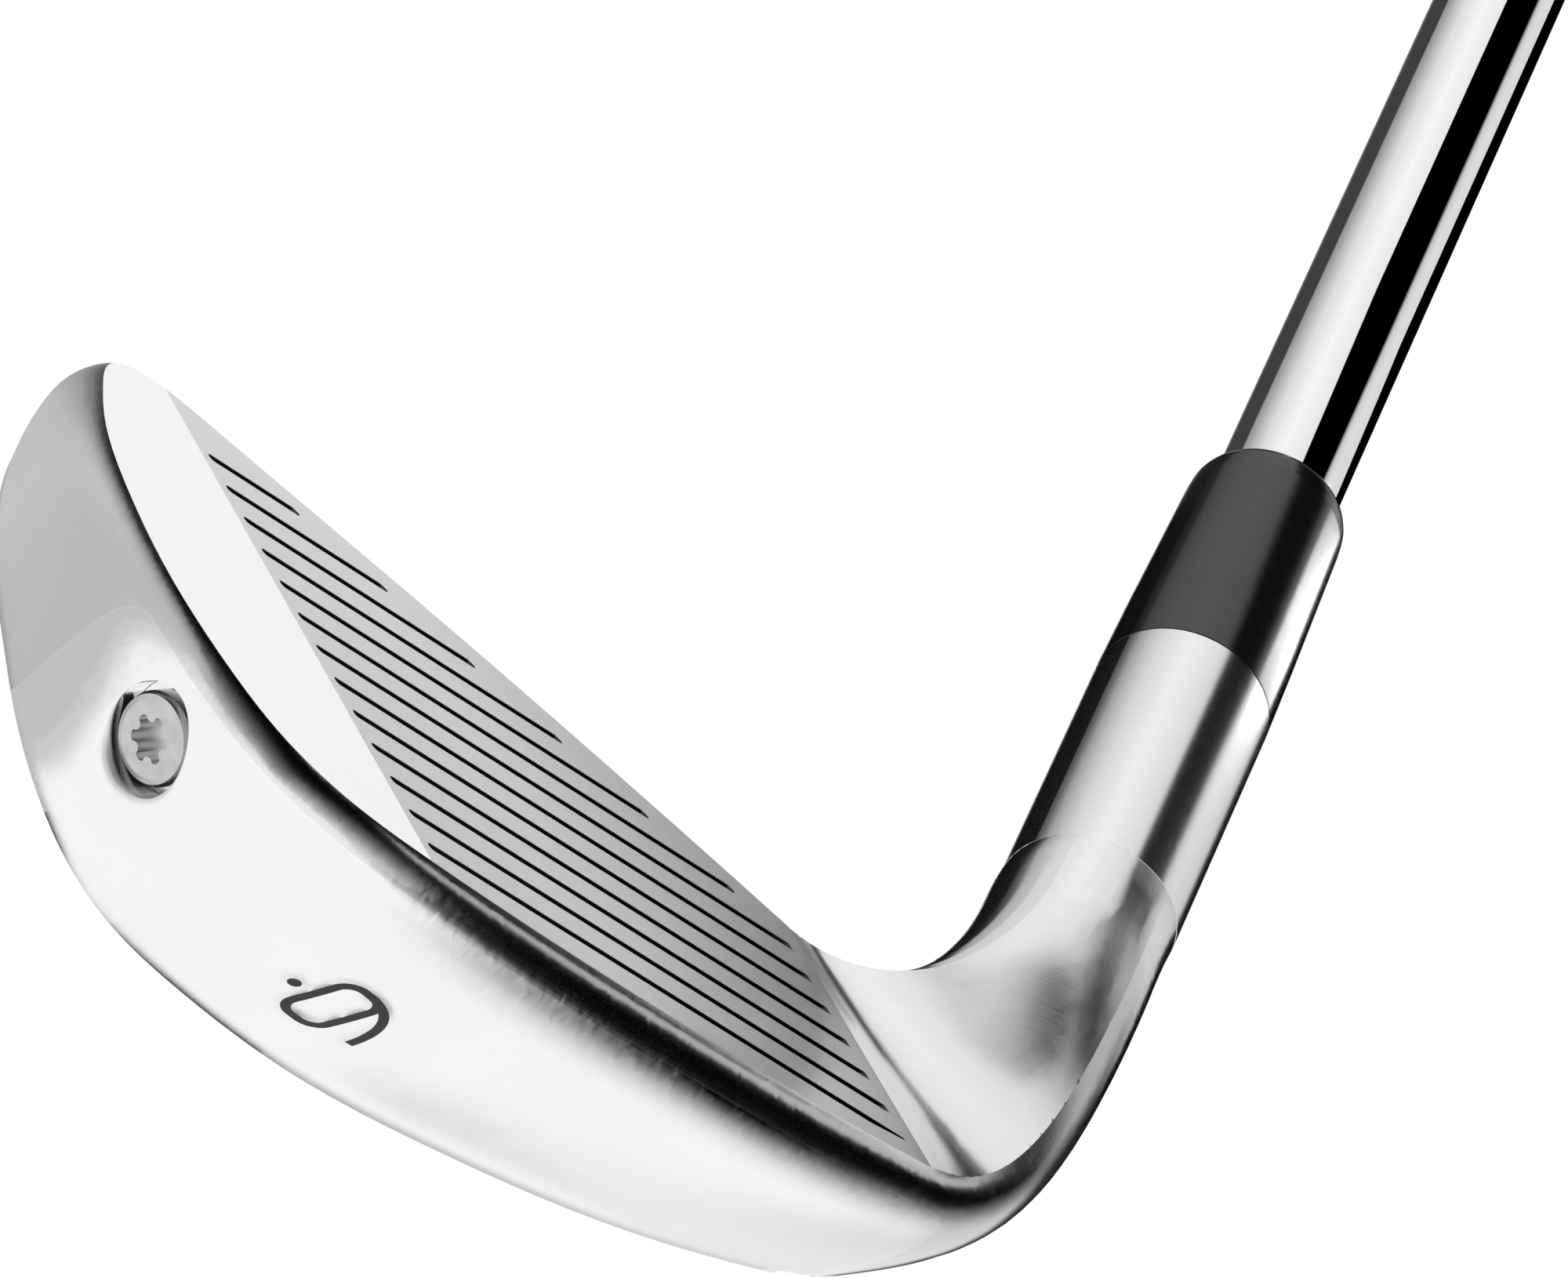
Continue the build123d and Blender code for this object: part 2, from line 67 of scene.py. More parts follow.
# perimeter ribs: x, s on the face; x, s, w of the rear edge; two edge angles; two handle lengths
RIBS = np.array([
    (-27.2, 7.4, -27.2, 10.3, 13.4, 66, 34, 0.36, 0.40),
    (-14.0, 6.1, -13.0, 11.1, 17.2, 66, 34, 0.37, 0.41),
    (2.0, 5.5, 3.0, 12.3, 19.6, 66, 34, 0.37, 0.41),
    (16.0, 5.8, 17.0, 12.8, 20.5, 66, 34, 0.37, 0.41),
    (28.0, 6.8, 29.0, 14.3, 20.4, 64, 32, 0.36, 0.40),
    (34.5, 8.3, 35.8, 15.9, 19.2, 60, 28, 0.34, 0.40),
    (38.7, 11.3, 39.2, 18.9, 17.6, 56, 24, 0.32, 0.40),
    (41.6, 17.8, 40.7, 23.4, 16.3, 50, 18, 0.30, 0.40),
    (42.8, 27.0, 40.9, 30.0, 14.7, 46, 14, 0.28, 0.40),
    (42.2, 35.0, 39.9, 37.3, 13.1, 46, 14, 0.30, 0.40),
    (39.9, 45.0, 38.2, 46.2, 12.0, 48, 16, 0.33, 0.40),
    (36.6, 52.2, 35.7, 52.9, 10.8, 48, 18, 0.35, 0.40),
    (33.0, 57.2, 33.1, 57.3, 8.8, 46, 20, 0.34, 0.40),
    (29.5, 58.7, 29.3, 57.8, 6.5, 34, 18, 0.30, 0.40),
    (22.0, 56.9, 22.0, 56.1, 6.5, 30, 16, 0.30, 0.40),
    (2.3, 48.6, 2.3, 47.9, 6.6, 30, 14, 0.30, 0.40),
    (-13.3, 41.1, -13.3, 40.4, 6.7, 30, 14, 0.30, 0.40),
    (-27.2, 33.6, -27.2, 33.1, 7.0, 30, 14, 0.30, 0.40),
])


def on_face(x, s, w):
    return FACE0 + x * X + s * UP - w * NORMAL


def bezier(p, v):
    return p[0] * (1 - v) ** 3 + p[1] * 3 * v * (1 - v) ** 2 + p[2] * 3 * v * v * (1 - v) + p[3] * v ** 3


def spline(knots, values, at):
    """Natural cubic spline through values at knots."""
    k, v, n = np.asarray(knots), np.asarray(values), len(knots)
    h = np.diff(k)
    m = np.zeros((n, n))
    r = np.zeros(v.shape)
    m[0, 0] = m[-1, -1] = 1
    for i in range(1, n - 1):
        m[i, i - 1], m[i, i], m[i, i + 1] = h[i - 1], 2 * (h[i - 1] + h[i]), h[i]
        r[i] = 6 * ((v[i + 1] - v[i]) / h[i] - (v[i] - v[i - 1]) / h[i - 1])
    c = np.linalg.solve(m, r)
    i = np.clip(np.searchsorted(k, at) - 1, 0, n - 2)
    a, b, step = (k[i + 1] - at)[:, None], (at - k[i])[:, None], h[i][:, None]
    return (c[i] * a ** 3 / (6 * step) + c[i + 1] * b ** 3 / (6 * step)
            + (v[i] / step - c[i] * step / 6) * a + (v[i + 1] / step - c[i + 1] * step / 6) * b)


def rib_controls():
    """The four control points of each rib's curve, from the face to the rear edge."""
    out = []
    for i, (x, s, xq, sq, wq, a, b, h0, h1) in enumerate(RIBS):
        if i in (0, len(RIBS) - 1):
            side = np.array([0.0, -1.0 if i == 0 else 1.0])
        else:
            along = RIBS[i + 1, :2] - RIBS[i - 1, :2]
            side = unit(np.array([along[1], -along[0]]))
        outward = side[0] * X + side[1] * UP
        front, rear = on_face(x, s, 0), on_face(xq, sq, wq)
        reach = np.linalg.norm(rear - front)
        a, b = math.radians(a), math.radians(b)
        out.append([front,
                    front + h0 * reach * (-math.cos(a) * NORMAL + math.sin(a) * outward),
                    rear + h1 * reach * (math.cos(b) * NORMAL + math.sin(b) * outward),
                    rear])
    return np.array(out)


def skirt_grid(nt, nv):
    """Perimeter surface of the blade, carried on a little past its rear edge."""
    extra_rows, extra_step = 8, 0.9
    ctl = rib_controls()
    knots = np.concatenate([[0], np.cumsum(np.linalg.norm(np.diff(RIBS[:, :2], axis=0), axis=1))])
    at = np.linspace(0, knots[-1], nt)
    rows = [spline(knots, np.array([bezier(c, v) for c in ctl]), at) for v in np.linspace(0, 1, nv)]
    onward = ctl[:, 3] - ctl[:, 2]
    onward /= np.linalg.norm(onward, axis=1)[:, None]
    for k in range(1, extra_rows + 1):
        rows.append(spline(knots, ctl[:, 3] + onward * extra_step * k, at))
    return np.stack(rows, 1)


def neck_grid(n, nv):
    """Blend from the heel section of the blade to the round hosel."""
    ctl = rib_controls()
    sole, top = ctl[0], ctl[-1]

    def sole_heading(v):
        return unit(bezier(sole, v) - bezier(ctl[1], v))

    def top_heading(v):
        return unit(bezier(top, v) - bezier(ctl[-2], v))

    start, head, angle = [], [], []
    for part in range(4):
        for k in range(n):
            u = k / n
            if part == 0:
                p, h = bezier(sole, u), sole_heading(u)
            elif part == 1:
                p = sole[3] + (top[3] - sole[3]) * u
                h = sole_heading(1.0) * (1 - u) + top_heading(1.0) * u
            elif part == 2:
                p, h = bezier(top, 1 - u), top_heading(1 - u)
            else:
                p = top[0] + (sole[0] - top[0]) * u
                h = top_heading(0.0) * (1 - u) + sole_heading(0.0) * u
            start.append(p)
            head.append(unit(h))
            angle.append(ANGLES[part] + (ANGLES[part + 1] - ANGLES[part]) * u)
    start, head, angle = np.array(start), np.array(head), np.array(angle)
    high = ((np.sin(angle) + 1) / 2)[:, None]  # 1 on the hosel's toe side, 0 on its heel side
    leave, arrive = 15.0 - 8.0 * high, 22.0 - 3.0 * high
    around_hosel = np.cos(angle)[:, None] * Y + np.sin(angle)[:, None] * TOEWARD
    end = AXIS + SHAFT * HOSEL_FOOT + HOSEL_R * around_hosel
    curve = (start, start + head * leave, end - SHAFT * arrive, end)
    return np.stack([bezier(curve, v) for v in np.linspace(0, 1, nv)], 1)


class Surface:
    """A fine grid that gives the smooth normal at its point nearest to any other, and its distance."""

    def __init__(self, grid, inside, wrap=False):
        if wrap:
            grid = np.concatenate([grid, grid[:1]], 0)
        nt, nv = grid.shape[:2]
        du = np.gradient(grid, axis=0)
        if wrap:
            du[0] = du[-1] = (grid[1] - grid[-2]) / 2
        normal = np.cross(du, np.gradient(grid, axis=1))
        normal /= np.maximum(np.linalg.norm(normal, axis=2), 1e-12)[..., None]
        if np.median((normal * (grid - inside)).sum(2)) < 0:
            normal = -normal
        idx = np.arange(nt * nv).reshape(nt, nv)
        quads = np.stack([idx[:-1, :-1], idx[1:, :-1], idx[1:, 1:], idx[:-1, 1:]], -1).reshape(-1, 4)
        self.tris = np.concatenate([quads[:, [0, 1, 2]], quads[:, [0, 2, 3]]])
        self.points = grid.reshape(-1, 3)
        self.normals = normal.reshape(-1, 3)
        self.tree = BVHTree.FromPolygons(self.points.tolist(), self.tris.tolist())

    def nearest(self, pts):
        where = np.empty((len(pts), 3))
        face = np.empty(len(pts), int)
        dist = np.empty(len(pts))
        for i, p in enumerate(pts.tolist()):
            where[i], _, face[i], dist[i] = self.tree.find_nearest(p)
        t = self.tris[face]
        a, b, c = (self.points[t[:, k]] for k in range(3))
        area = np.cross(b - a, c - a)
        whole = np.maximum((area * area).sum(1), 1e-18)
        wb = (np.cross(where - a, c - a) * area).sum(1) / whole
        wc = (np.cross(b - a, where - a) * area).sum(1) / whole
        na, nb, nc = (self.normals[t[:, k]] for k in range(3))
        n = na * (1 - wb - wc)[:, None] + nb * wb[:, None] + nc * wc[:, None]
        return n / np.linalg.norm(n, axis=1)[:, None], dist


def islands(tris, count):
    """Number of the connected patch that each vertex belongs to."""
    label = np.arange(count)
    while True:
        low = label[tris].min(1)
        new = label.copy()
        np.minimum.at(new, tris.ravel(), np.repeat(low, 3))
        new = new[new]
        if (new == label).all():
            return label
        label = new


def split(points, normals, tris):
    """Cuts every triangle into four, at the middles of its edges."""
    edges = np.sort(np.concatenate([tris[:, [0, 1]], tris[:, [1, 2]], tris[:, [2, 0]]]), 1)
    unique, inverse = np.unique(edges, axis=0, return_inverse=True)
    mid = (points[unique[:, 0]] + points[unique[:, 1]]) / 2
    mid_n = normals[unique[:, 0]] + normals[unique[:, 1]]
    mid_n /= np.maximum(np.linalg.norm(mid_n, axis=1), 1e-9)[:, None]
    a, b, c = tris.T
    ab, bc, ca = inverse.reshape(3, -1) + len(points)
    new = np.concatenate([np.stack(t, 1) for t in ((a, ab, ca), (ab, b, bc), (ca, bc, c), (ab, bc, ca))])
    return np.concatenate([points, mid]), np.concatenate([normals, mid_n]), new


def node_arrays(name):
    """Points in millimetres, normals and triangles of a CAD node's mesh."""
    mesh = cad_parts[name].data
    co = np.empty(len(mesh.vertices) * 3, np.float32)
    mesh.vertices.foreach_get("co", co)
    tri = np.empty(len(mesh.loops), np.int32)
    mesh.loops.foreach_get("vertex_index", tri)
    nor = np.empty(len(mesh.loops) * 3, np.float32)
    mesh.corner_normals.foreach_get("vector", nor)
    tri = tri.reshape(-1, 3)
    vn = np.zeros((len(mesh.vertices), 3))
    vn[tri.ravel()] = nor.reshape(-1, 3)
    return co.reshape(-1, 3).astype(float) * MM_PER_M, vn, tri.astype(int)


def head_skin(passes):
    """The CAD body's mesh cut finer, with exact normals on the blade's edge and the neck."""
    off, few, alike = 0.12, 20, 0.97  # most distance in mm, fewest points, least agreement of normals
    points, normals, tris = node_arrays("head_body")
    label = islands(tris, len(points))
    surfaces = [
        Surface(skirt_grid(900, 140), on_face(5, 28, 6)),
        Surface(neck_grid(60, 160), AXIS + SHAFT * 30, wrap=True),
    ]
    owner = np.full(len(points), -1)
    for k, surface in enumerate(surfaces):
        n, dist = surface.nearest(points)
        for patch in np.unique(label):
            mine = label == patch
            agree = np.abs((n[mine] * normals[mine]).sum(1)).mean()
            if mine.sum() > few and np.percentile(dist[mine], 90) < off and agree > alike:
                owner[mine & (owner < 0)] = k
    for _ in range(passes):
        was = owner
        points, normals, tris = split(points, normals, tris)
        owner = np.full(len(points), -1)
        owner[:len(was)] = was
        owner[tris.ravel()] = np.maximum(owner[tris.ravel()], np.repeat(owner[tris].max(1), 3))
    for k, surface in enumerate(surfaces):
        mine = np.where(owner == k)[0]
        n, dist = surface.nearest(points[mine])
        close = dist < off
        normals[mine[close]] = n[close]
    mesh = bpy.data.meshes.new("head_skin")
    mesh.from_pydata((points / MM_PER_M).tolist(), [], tris.tolist())
    mesh.polygons.foreach_set("use_smooth", [True] * len(mesh.polygons))
    mesh.normals_split_custom_set_from_vertices(normals.tolist())
    obj = bpy.data.objects.new("head_skin", mesh)
    bpy.context.scene.collection.objects.link(obj)
    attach(obj, "club")
    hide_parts("head_body")
    return obj


# ---------------------------------------------------------------- shader helpers
class Nodes:
    """Short way of writing a material."""

    def __init__(self, name):
        self.mat = bpy.data.materials.new(name)
        self.mat.use_nodes = True
        self.tree = self.mat.node_tree
        self.tree.nodes.clear()
        self.out = self.tree.nodes.new("ShaderNodeOutputMaterial")
        self.shader = self.tree.nodes.new("ShaderNodeBsdfPrincipled")
        self.tree.links.new(self.shader.outputs[0], self.out.inputs[0])
        self.pos = self.tree.nodes.new("ShaderNodeTexCoord").outputs["Object"]

    def put(self, socket, value):
        if isinstance(value, bpy.types.NodeSocket):
            self.tree.links.new(value, socket)
        elif isinstance(value, (tuple, list, np.ndarray)):
            socket.default_value = tuple(float(v) for v in value)
        else:
            socket.default_value = value

    def set(self, **values):
        for key, value in values.items():
            self.put(self.shader.inputs[key.replace("_", " ")], value)

    def math(self, op, a, b=0.0, c=0.0):
        n = self.tree.nodes.new("ShaderNodeMath")
        n.operation = op
        for socket, value in zip(n.inputs, (a, b, c)):
            self.put(socket, value)
        return n.outputs[0]

    def dot(self, vector, origin=(0, 0, 0)):
        """Distance of the surface point from an origin along a direction, in millimetres."""
        move = self.tree.nodes.new("ShaderNodeVectorMath")
        move.operation = "SUBTRACT"
        self.put(move.inputs[0], self.pos)
        self.put(move.inputs[1], np.asarray(origin) / MM_PER_M)
        n = self.tree.nodes.new("ShaderNodeVectorMath")
        n.operation = "DOT_PRODUCT"
        self.put(n.inputs[0], move.outputs[0])
        self.put(n.inputs[1], np.asarray(vector) * MM_PER_M)
        return n.outputs["Value"]

    def step(self, value, low, high):
        """0 at low, 1 at high and past it, smooth between."""
        n = self.tree.nodes.new("ShaderNodeMapRange")
        n.interpolation_type = "SMOOTHSTEP"
        for socket, v in zip(n.inputs, (value, low, high, 0.0, 1.0)):
            self.put(socket, v)
        return n.outputs[0]

    def off_middle(self, value):
        """Distance from the middle of each whole step of a value, 0 to 0.5."""
        return self.math("ABSOLUTE", self.math("SUBTRACT", self.math("FRACT", value), 0.5))

    def noise(self, vector, scale, detail, rough):
        n = self.tree.nodes.new("ShaderNodeTexNoise")
        self.put(n.inputs["Vector"], vector)
        n.inputs["Scale"].default_value = scale
        n.inputs["Detail"].default_value = detail
        n.inputs["Roughness"].default_value = rough
        return n.outputs[0]

    def streaks(self, *axes, detail, rough):
        """Noise over up to three coordinates, each given with its own scale."""
        n = self.tree.nodes.new("ShaderNodeCombineXYZ")
        for socket, (value, scale) in zip(n.inputs, axes):
            self.put(socket, self.math("MULTIPLY", value, scale))
        return self.noise(n.outputs[0], 1.0, detail, rough)

    def mix(self, factor, a, b):
        n = self.tree.nodes.new("ShaderNodeMix")
        self.put(n.inputs[0], factor)
        self.put(n.inputs[2], a)
        self.put(n.inputs[3], b)
        return n.outputs[0]

    def colour(self, factor, a, b):
        n = self.tree.nodes.new("ShaderNodeMix")
        n.data_type = "RGBA"
        self.put(n.inputs[0], factor)
        for socket, tone in ((n.inputs[6], a), (n.inputs[7], b)):
            self.put(socket, tone if isinstance(tone, bpy.types.NodeSocket) else (*tone, 1.0))
        return n.outputs[2]

    def bump(self, height, distance, strength, normal=None):
        n = self.tree.nodes.new("ShaderNodeBump")
        n.inputs["Strength"].default_value = strength
        n.inputs["Distance"].default_value = distance
        self.put(n.inputs["Height"], height)
        if normal is not None:
            self.put(n.inputs["Normal"], normal)
        return n.outputs[0]

    def around_shaft(self):
        """Angle about the shaft axis, in turns, and distance along it."""
        angle = self.math("ARCTAN2", self.dot(TOEWARD, AXIS), self.dot(Y, AXIS))
        return self.math("DIVIDE", angle, 2 * math.pi), self.dot(SHAFT, AXIS)


# ---------------------------------------------------------------- materials
FACE_HEEL = -27.3       # x of the face's border at the heel
SCORE_TOE = 26.8        # x where the blasted score zone ends and the polished toe strip begins
SOLE_BACK = 2.2         # the polished sole begins this far behind the face,
SOLE_HIGH = 21.8        # lies below this height
SOLE_HEEL = -31.0       # and ends at this x;
SOLE_ROUND = 3.0        # its corners are rounded by about this much
BLAST_BUMP = 1.6        # height of the blasted grain in units of the brushed grain


class Steel(Nodes):
    """The head's steel: distances, grains and the zones of the face."""

    def __init__(self, name):
        super().__init__(name)
        self.x = self.dot(X)
        self.w = self.math("MULTIPLY", self.dot(NORMAL, FACE0), -1.0)
        self.grain = self.noise(self.pos, 9000.0, 3.0, 0.6)
        self.cloud = self.noise(self.pos, 120.0, 3.0, 0.5)
        self.behind = self.step(self.w, 0.01, 0.05)
        front = self.math("SUBTRACT", 1.0, self.behind)
        self.face = self.math("MULTIPLY", front, self.math("GREATER_THAN", self.x, FACE_HEEL))
        self.score = self.math("MULTIPLY", self.face, self.math("LESS_THAN", self.x, SCORE_TOE))
        self.mirror = self.colour(self.cloud, (0.95, 0.95, 0.955), (0.99, 0.99, 0.99))
        # painted shade: the blasted score zone's colour darkens toward the heel, as the photograph shows
        # it, in place of the shading there
        light_grey = self.colour(self.grain, (0.84, 0.84, 0.845), (0.98, 0.98, 0.98))
        heel_painted_shade_grey = self.colour(self.grain, (0.30, 0.30, 0.302), (0.40, 0.40, 0.402))
        self.blasted_with_painted_shade = self.colour(self.step(self.x, 12.0, -34.0), light_grey, heel_painted_shade_grey)
        self.blasted_rough = self.math("MULTIPLY_ADD", self.grain, 0.08, 0.20)


def head_material():
    """Satin steel with a polished sole and the blasted and polished rim of the face."""
    n = Steel("head_steel")
    z, s = n.dot((0, 0, 1)), n.dot(UP, FACE0)
    turn, t = n.around_shaft()
    # the sole, with a bright line along its border
    back, low = n.math("SUBTRACT", n.w, SOLE_BACK), n.math("SUBTRACT", SOLE_HIGH, z)
    edge = n.math("SMOOTH_MIN", back, low, SOLE_ROUND)
    edge = n.math("SMOOTH_MIN", edge, n.math("SUBTRACT", n.x, SOLE_HEEL), SOLE_ROUND)
    sole = n.math("MULTIPLY", n.step(edge, -0.06, 0.06), n.behind)
    line = n.math("MULTIPLY", n.step(n.math("ABSOLUTE", edge), 0.10, 0.03), n.behind)
    strip = n.math("MULTIPLY", n.face, n.math("GREATER_THAN", n.x, SCORE_TOE))
    bright = n.math("MAXIMUM", sole, strip)
    # brushed round the neck and along the blade
    ring = n.streaks((turn, 5.0), (t, 14.0), detail=2.0, rough=0.6)
    long = n.streaks((n.x, 0.2), (s, 0.2), (n.w, 14.0), detail=2.0, rough=0.6)
    brushed = n.mix(n.step(n.x, -27.4, -27.0), ring, long)
    satin_rough = n.math("MULTIPLY_ADD", brushed, 0.08, 0.13)
    rough = n.mix(bright, satin_rough, n.math("MULTIPLY_ADD", n.cloud, 0.03, 0.05))
    rough = n.mix(n.score, rough, n.blasted_rough)
    tone = n.colour(brushed, (0.84, 0.84, 0.845), (0.94, 0.94, 0.945))
    tone = n.colour(bright, tone, n.mirror)
    # the blasted score zone, with its painted shade darkening toward the heel
    tone = n.colour(n.score, tone, n.blasted_with_painted_shade)
    tone = n.colour(line, tone, (1.0, 1.0, 1.0))
    height = n.math("MULTIPLY", brushed, n.math("SUBTRACT", 1.0, n.math("MAXIMUM", bright, n.score)))
    height = n.math("MULTIPLY_ADD", n.grain, n.math("MULTIPLY", n.score, BLAST_BUMP), height)
    # the blade's edges are softened, more at the rear; the neck and the face keep their own normals
    bevel = n.tree.nodes.new("ShaderNodeBevel")
    bevel.samples = 6
    n.put(bevel.inputs["Radius"], n.math("MULTIPLY_ADD", n.step(n.w, 6.0, 11.0), 0.0015, 0.00012))
    geometry = n.tree.nodes.new("ShaderNodeNewGeometry")
    normal = n.tree.nodes.new("ShaderNodeMix")
    normal.data_type = "VECTOR"
    n.put(normal.inputs[0], n.math("MULTIPLY", n.behind, n.step(n.x, -26.6, -26.0)))
    n.put(normal.inputs[4], geometry.outputs["Normal"])
    n.put(normal.inputs[5], bevel.outputs[0])
    n.set(Base_Color=tone, Metallic=1.0, Roughness=rough,
          Normal=n.bump(height, 0.000004, 0.4, normal.outputs[1]))
    return n.mat


def face_material():
    """Blasted between the score lines with painted shade toward the heel, polished at the toe, and with
    painted shade in the grooves.
    """
    n = Steel("face_steel")
    rough = n.mix(n.score, n.math("MULTIPLY_ADD", n.cloud, 0.03, 0.06), n.blasted_rough)
    # painted shade: everything behind the face plane, the grooves' walls and bottoms, is coloured near
    # black
    painted_groove_shade = n.colour(n.grain, (0.03, 0.03, 0.03), (0.07, 0.07, 0.07))
    tone = n.colour(n.behind, n.colour(n.score, n.mirror, n.blasted_with_painted_shade), painted_groove_shade)
    height = n.math("MULTIPLY", n.grain, n.math("MULTIPLY", n.score, BLAST_BUMP))
    n.set(Base_Color=tone, Metallic=1.0, Roughness=rough, Normal=n.bump(height, 0.000006, 0.5))
    return n.mat


def chrome_material():
    n = Nodes("bright_chrome")
    turn, t = n.around_shaft()
    haze = n.streaks((turn, 9.0), (t, 0.15), detail=3.0, rough=0.6)
    n.set(Base_Color=n.colour(haze, (0.93, 0.93, 0.94), (0.98, 0.98, 0.985)), Metallic=1.0,
          Roughness=n.math("MULTIPLY_ADD", haze, 0.03, 0.015))
    return n.mat


def ferrule_material():
    n = Nodes("black_ferrule")
    turn, t = n.around_shaft()
    ring = n.streaks((turn, 14.0), (t, 8.0), detail=3.0, rough=0.7)
    n.set(Base_Color=n.colour(ring, (0.006, 0.006, 0.006), (0.012, 0.012, 0.012)),
          Roughness=n.math("MULTIPLY_ADD", ring, 0.12, 0.10), Normal=n.bump(ring, 0.00001, 0.4),
          Specular_IOR_Level=0.75)
    return n.mat


def screw_material():
    """Steel with lathe marks in rings about the screw's axis."""
    n = Nodes("screw_steel")
    side = unit(np.cross(SCREW_OUT, [0, 0, 1.0]))
    a, b = n.dot(side, SCREW_AT), n.dot(np.cross(SCREW_OUT, side), SCREW_AT)
    radius = n.math("SQRT", n.math("ADD", n.math("MULTIPLY", a, a), n.math("MULTIPLY", b, b)))
    lathe = n.streaks((radius, 9.0), detail=3.0, rough=0.7)
    blotch = n.noise(n.pos, 900.0, 3.0, 0.6)
    n.set(Base_Color=n.colour(blotch, (0.45, 0.45, 0.455), (0.75, 0.75, 0.755)), Metallic=1.0,
          Roughness=n.math("MULTIPLY_ADD", blotch, 0.2, 0.16), Normal=n.bump(lathe, 0.00002, 0.5))
    return n.mat


def paint_material():
    n = Nodes("black_paint")
    grain = n.noise(n.pos, 3000.0, 3.0, 0.6)
    n.set(Base_Color=n.colour(grain, (0.004, 0.004, 0.004), (0.012, 0.012, 0.012)),
          Roughness=n.math("MULTIPLY_ADD", grain, 0.2, 0.45), Normal=n.bump(grain, 0.00001, 0.4))
    return n.mat


def rubber_material(pattern):
    """Black rubber; the grip's has rows of sunk marks between plain bands."""
    row_pitch, marks_round, band_pitch = 3.2, 16.0, 48.0
    n = Nodes("grip_rubber" if pattern else "plain_rubber")
    grain = n.noise(n.pos, 2500.0, 4.0, 0.65)
    height = n.math("MULTIPLY", grain, 0.25)
    if pattern:
        turn, t = n.around_shaft()
        row = n.math("DIVIDE", t, row_pitch)
        shift = n.math("MULTIPLY", n.math("MODULO", n.math("FLOOR", row), 2.0), 0.5)
        along = n.off_middle(row)
        across = n.off_middle(n.math("ADD", n.math("MULTIPLY", turn, marks_round), shift))
        mark = n.math("MULTIPLY", n.step(along, 0.22, 0.12), n.step(across, 0.40, 0.30))
        field = n.math("MULTIPLY", n.step(t, 700.0, 701.0), n.step(t, 938.0, 937.0))
        band = n.step(n.off_middle(n.math("DIVIDE", t, band_pitch)), 0.44, 0.455)
        mark = n.math("MULTIPLY", n.math("MULTIPLY", mark, field), n.math("SUBTRACT", 1.0, band))
        height = n.math("MULTIPLY_ADD", mark, -1.6, height)
    n.set(Base_Color=n.colour(grain, (0.010, 0.010, 0.010), (0.026, 0.026, 0.026)),
          Roughness=n.math("MULTIPLY_ADD", grain, 0.2, 0.62), Normal=n.bump(height, 0.0004, 0.9))
    return n.mat


def hidden_material(name, low, high, rough, metallic, scale, bump):
    """Plain grained look of a piece that the photograph doesn't show."""
    n = Nodes(name)
    grain = n.noise(n.pos, scale, 4.0, 0.6)
    n.set(Base_Color=n.colour(grain, low, high), Metallic=metallic,
          Roughness=n.math("MULTIPLY_ADD", grain, 0.12, rough), Normal=n.bump(grain, bump, 0.6))
    return n.mat


def dress(name, material):
    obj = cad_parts[name]
    obj.data.materials.clear()
    obj.data.materials.append(material)


# ---------------------------------------------------------------- the club
skin = head_skin(3)
skin.data.materials.append(head_material())
dress("face_plate", face_material())
dress("shaft", chrome_material())
dress("ferrule", ferrule_material())
dress("toe_screw", screw_material())
paint = paint_material()
dress("number_paint", paint)
dress("dot_paint", paint)
dress("grip", rubber_material(True))
plain = rubber_material(False)
for node in ("grip_cap", "toe_screw_seal", "badge_pad"):
    dress(node, plain)
# node, material, dark and light tone, roughness, metallic, scale of the grain, bump in metres
for node, *look in (
    ("back_badge", "dark_aluminium", (0.10, 0.10, 0.105), (0.16, 0.16, 0.165), 0.30, 1.0, 2500.0, 0.00001),
    ("foam_core", "urethane_foam", (0.50, 0.38, 0.26), (0.62, 0.50, 0.36), 0.8, 0.0, 900.0, 0.0002),
    ("tungsten_weight", "tungsten", (0.20, 0.20, 0.21), (0.30, 0.30, 0.31), 0.45, 1.0, 1800.0, 0.00004),
    ("hosel_epoxy", "epoxy", (0.60, 0.55, 0.38), (0.68, 0.64, 0.46), 0.35, 0.0, 600.0, 0.00003),
    ("tip_weight", "brass", (0.62, 0.46, 0.20), (0.74, 0.58, 0.30), 0.30, 1.0, 1500.0, 0.00002),
    ("grip_tape", "paper_tape", (0.72, 0.69, 0.60), (0.82, 0.80, 0.72), 0.8, 0.0, 1200.0, 0.00005),
):
    dress(node, hidden_material(*look))


# ---------------------------------------------------------------- the studio
# Place of the camera, and its own axes.
EYE = np.array([568.1, 457.2, -404.9])
RIGHT = np.array([-0.61614, 0.78762, -0.00511])
TOP = np.array([0.40640, 0.32346, 0.85452])
BACK = np.array([0.67469, 0.52443, -0.51939])

# Square to the shaft axis, to the camera and to its right. Angles round the axis run from one to the other.
TOWARD = unit(BACK - SHAFT * (BACK @ SHAFT))
BESIDE = RIGHT - SHAFT * (RIGHT @ SHAFT)
BESIDE = unit(BESIDE - TOWARD * (BESIDE @ TOWARD))

NEAR = 80.0             # distance of the near flags from the shaft axis, and radius of the toe's shell
OPEN = 0.93             # brightness of the open studio
SOFT_BOX = 0.92
FLOOR_Z, FLOOR_HALF = -0.62, 14.0           # metres
PHOTO_WIDTH, FOCAL, SENSOR = 2000, 15906.6, 36.0  # pixels, pixels, millimetres

